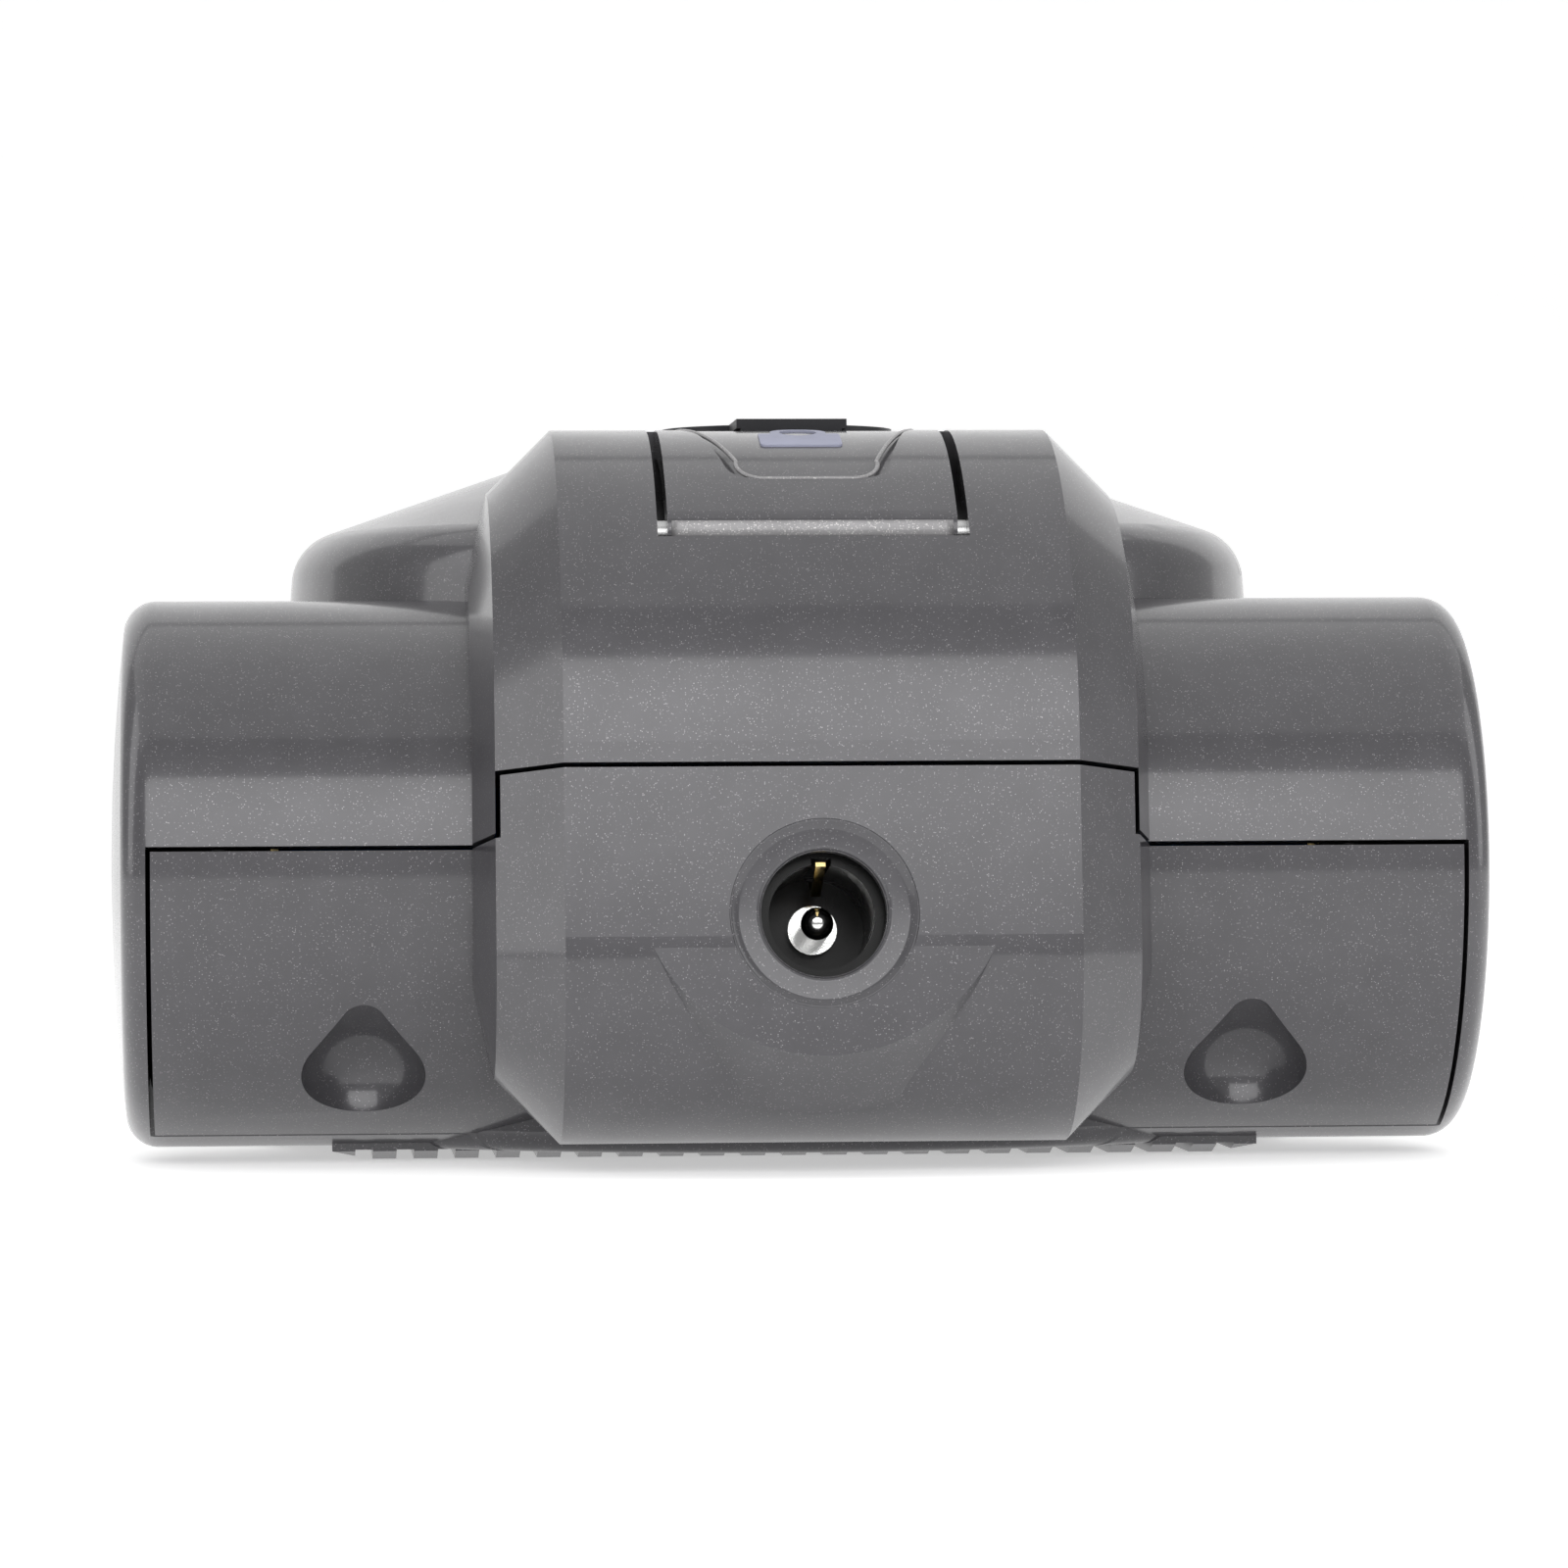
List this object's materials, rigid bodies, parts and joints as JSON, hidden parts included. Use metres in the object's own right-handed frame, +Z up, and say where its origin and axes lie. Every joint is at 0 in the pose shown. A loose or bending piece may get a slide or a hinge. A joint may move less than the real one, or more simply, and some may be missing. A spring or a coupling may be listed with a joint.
{
  "type": "electric air mattress pump",
  "caption": "Hand-held rechargeable air pump: round blower on an inlet grille, battery barrel across the back, faceted spine with charging jack, capped outlet and lock latch.",
  "frame": {"origin": "middle of the base, on the plane that the grille's ribs stand on", "axes": "+X across the barrel, +Y to the front (power button side), +Z up through the outlet"},
  "size_m": [0.0862, 0.0854, 0.0468],
  "materials": {
    "shell_plastic": "gloss charcoal with fine pearl flakes",
    "symbol_paint": "satin",
    "black_plastic": "satin",
    "gloss_black": "gloss",
    "button_plastic": "gloss",
    "white_plastic": "satin",
    "steel": "satin",
    "chrome": "polished",
    "brass": "satin",
    "cell_wrap": "gloss shrink wrap",
    "board_green": "satin",
    "clear_lens": "clear"
  },
  "bodies": {
    "housing": {"lower_housing": "shell_plastic", "upper_housing": "shell_plastic", "inlet_grille": "shell_plastic", "outlet_collar": "black_plastic", "cap_pin": "steel", "fan_deck": "black_plastic", "motor_can": "steel", "motor_end_cap": "black_plastic", "motor_lugs": "brass", "battery_cell": "cell_wrap", "battery_cradle": "black_plastic", "battery_contacts": "brass", "charge_board": "board_green", "board_components": "black_plastic", "jack_body": "gloss_black", "jack_pin": "chrome", "jack_contact": "brass", "button_board": "board_green", "button_switch": "black_plastic", "button_leds": "white_plastic", "status_lens": "clear_lens", "housing_screws": "steel"},
    "cover": {"rear_cover": "shell_plastic"},
    "latch_flap": {"latch": "shell_plastic", "lock_symbol": "symbol_paint", "latch_pin": "steel", "latch_spring": "steel"},
    "cap": {"outlet_cap": "black_plastic"},
    "rotor": {"impeller": "white_plastic", "motor_shaft": "steel"},
    "button": {"power_button": "button_plastic", "button_spring": "steel"}
  },
  "joints": [
    {"name": "latch_hinge", "type": "hinge", "parent": "housing", "child": "latch_flap", "pos_m": [0, -0.03185, 0.03891], "axis": [1, 0, 0], "range_deg": [0, 40], "stiffness_Nm_per_rad": 0.004},
    {"name": "cap_hinge", "type": "hinge", "parent": "housing", "child": "cap", "pos_m": [0, 0.0078, 0.04585], "axis": [-1, 0, 0], "range_deg": [0, 100]},
    {"name": "cover_slide", "type": "slide", "parent": "housing", "child": "cover", "axis": [0, -1, 0], "range_m": [0, 0.032]},
    {"name": "rotor_spin", "type": "hinge", "parent": "housing", "child": "rotor", "pos_m": [0, 0.0083, 0.03], "axis": [0, 0, 1], "continuous": true},
    {"name": "button_press", "type": "slide", "parent": "housing", "child": "button", "axis": [0, -1, 0], "range_m": [0, 0.001], "stiffness_N_per_m": 300}
  ]
}
